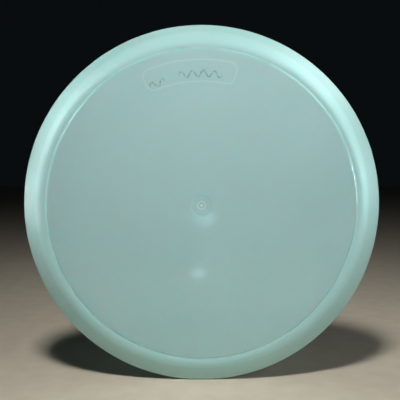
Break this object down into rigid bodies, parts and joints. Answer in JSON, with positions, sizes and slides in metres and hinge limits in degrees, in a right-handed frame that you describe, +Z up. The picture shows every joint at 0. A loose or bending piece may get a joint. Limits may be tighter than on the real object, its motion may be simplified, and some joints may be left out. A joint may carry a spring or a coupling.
{
  "type": "golf flying disc",
  "caption": "Round throwing disc for disc golf: a shallow domed translucent plate in a sharp-nosed rim, hollow underneath, standing on its edge.",
  "frame": {"origin": "on the spin axis, halfway between the rim's flat underside and the top of the dome: the centre of the disc's box", "axes": "+Y along the spin axis, from the domed top face towards the hollow underside; +Z up, with the disc standing on its edge; +X to the right for someone facing the top"},
  "size_m": [0.217, 0.019, 0.217],
  "materials": {
    "plate_plastic": "soft translucent polyurethane, pale aqua, smooth and slightly waxy",
    "rim_plastic": "soft translucent polyurethane, pale aqua, thicker and milkier than the plate",
    "pen_ink": "dried permanent marker"
  },
  "bodies": {
    "root": {"flight_plate": "plate_plastic", "rim": "rim_plastic", "ink_mark_short": "pen_ink", "ink_mark_long": "pen_ink"}
  },
  "joints": []
}
